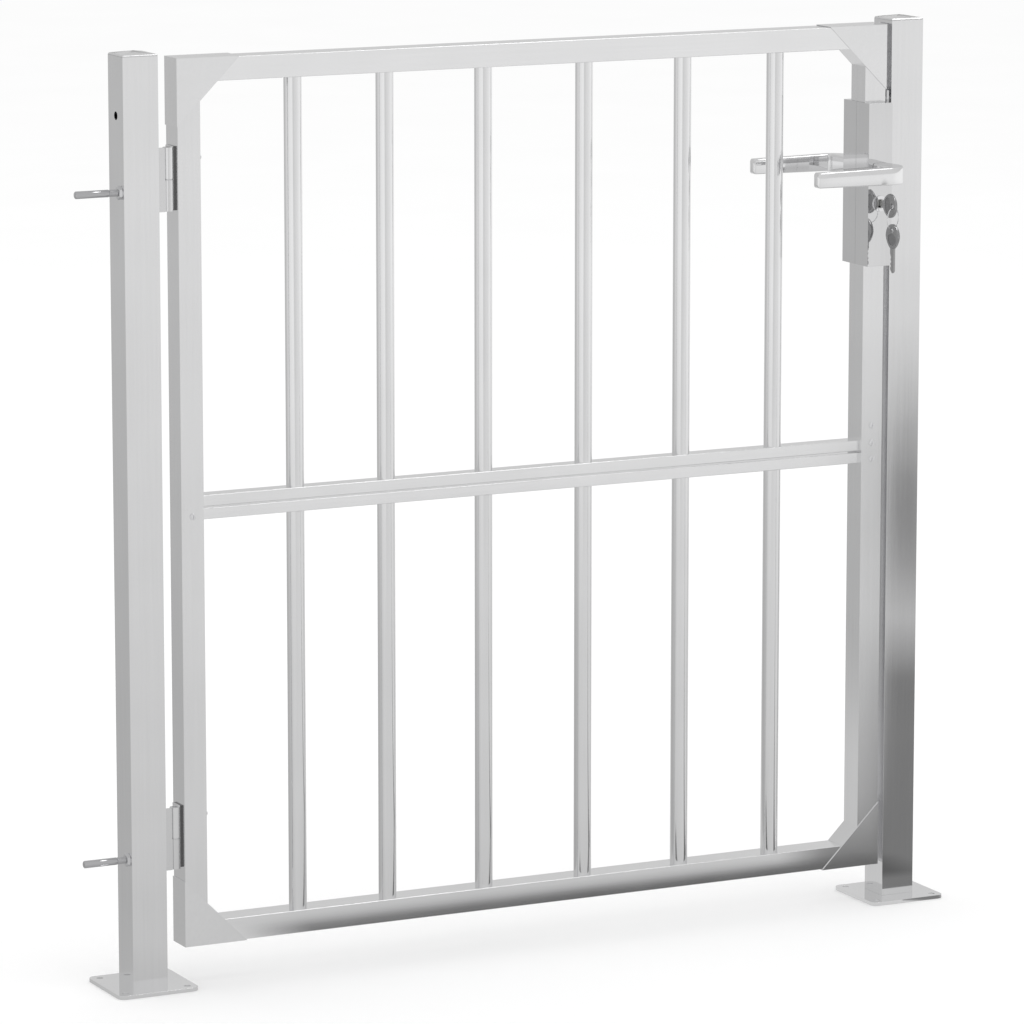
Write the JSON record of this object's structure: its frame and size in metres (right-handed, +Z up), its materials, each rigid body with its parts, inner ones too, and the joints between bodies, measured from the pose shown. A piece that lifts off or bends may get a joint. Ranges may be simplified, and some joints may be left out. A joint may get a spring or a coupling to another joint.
{
  "type": "barred gate with posts",
  "caption": "Steel barred gate leaf hung between two square posts on base plates, with adjustable hinges, a lever latch and a key-operated dead bolt.",
  "frame": {"origin": "centre of the hinge post's base plate, on the ground", "axes": "+X from the hinge post to the latch post, -Y towards the front where the key is, +Z up"},
  "size_m": [1.045, 0.159, 1.011],
  "materials": {
    "posts": "satin-bright steel tube and plate",
    "leaf": "satin-bright steel tube and sheet",
    "bars": "bright round steel tube",
    "lock_case": "polished steel sheet",
    "hardware": "bright plated steel",
    "mechanism": "zinc-plated steel, inside the lock",
    "keys": "dark nickel-plated"
  },
  "bodies": {
    "posts": {"hinge_post": "posts", "latch_post": "posts", "post_caps": "posts", "hinge_post_foot": "posts", "latch_post_foot": "posts", "upper_hinge_bracket": "posts", "lower_hinge_bracket": "posts", "hinge_rods": "hardware", "rod_nuts": "hardware", "hinge_pins": "hardware", "hinge_washers": "hardware", "strike_plate": "posts", "strike_screws": "hardware"},
    "leaf": {"upper_hinge_stile": "leaf", "lower_hinge_stile": "leaf", "upper_latch_stile": "leaf", "lower_latch_stile": "leaf", "top_rail": "leaf", "bottom_rail": "leaf", "upper_mid_rail": "leaf", "lower_mid_rail": "leaf", "upper_bar_1": "bars", "upper_bar_2": "bars", "upper_bar_3": "bars", "upper_bar_4": "bars", "upper_bar_5": "bars", "upper_bar_6": "bars", "lower_bar_1": "bars", "lower_bar_2": "bars", "lower_bar_3": "bars", "lower_bar_4": "bars", "lower_bar_5": "bars", "lower_bar_6": "bars", "corner_top_hinge": "leaf", "corner_top_latch": "leaf", "corner_bottom_hinge": "leaf", "corner_bottom_latch": "leaf", "splice_sleeves": "mechanism", "splice_screws": "hardware", "upper_gate_hinge": "leaf", "lower_gate_hinge": "leaf", "hinge_bolts": "hardware", "hinge_nuts": "hardware", "front_lock_cover": "lock_case", "rear_lock_cover": "lock_case", "cover_screws": "hardware", "lock_chassis": "mechanism", "cylinder_housing": "hardware", "lever_spring": "mechanism"},
    "lever_set": {"spindle": "hardware", "follower": "mechanism", "front_lever": "hardware", "back_lever": "hardware", "lever_grub_screws": "hardware"},
    "latch": {"latch_bolt": "mechanism"},
    "dead": {"dead_bolt": "mechanism"},
    "plug": {"cylinder_plug": "mechanism", "key": "keys"},
    "ring": {"key_ring": "hardware"},
    "spare": {"spare_key": "keys"}
  },
  "joints": [
    {"name": "leaf_swing", "type": "hinge", "parent": "posts", "child": "leaf", "pos_m": [0.034, -0.011, 0.5], "axis": [0, 0, -1], "range_deg": [0, 110]},
    {"name": "lever_turn", "type": "hinge", "parent": "leaf", "child": "lever_set", "pos_m": [0.8885, 0, 0.8395], "axis": [0, -1, 0], "range_deg": [0, 35], "stiffness_Nm_per_rad": 1, "springref_deg": -28.65},
    {"name": "latch_slide", "type": "slide", "parent": "leaf", "child": "latch", "axis": [1, 0, 0], "range_m": [-0.0105, 0]},
    {"name": "key_turn", "type": "hinge", "parent": "leaf", "child": "plug", "pos_m": [0.8885, -0.02, 0.803], "axis": [0, -1, 0], "range_deg": [0, 90]},
    {"name": "deadbolt_slide", "type": "slide", "parent": "leaf", "child": "dead", "axis": [1, 0, 0], "range_m": [0, 0.0093]},
    {"name": "ring_swing", "type": "hinge", "parent": "plug", "child": "ring", "pos_m": [0.8885, -0.058, 0.8016], "axis": [0.866, 0.5, 0], "range_deg": [-20, 20]},
    {"name": "spare_slide", "type": "hinge", "parent": "ring", "child": "spare", "pos_m": [0.8885, -0.058, 0.7896], "axis": [0.5, -0.866, 0], "range_deg": [-90, 0]}
  ],
  "couplings": [
    {"joint": "latch_slide", "follows": "lever_turn", "m_per_rad": -0.01708},
    {"joint": "deadbolt_slide", "follows": "key_turn", "m_per_rad": 0.00585},
    {"joint": "spare_slide", "follows": "key_turn", "ratio": -1}
  ]
}
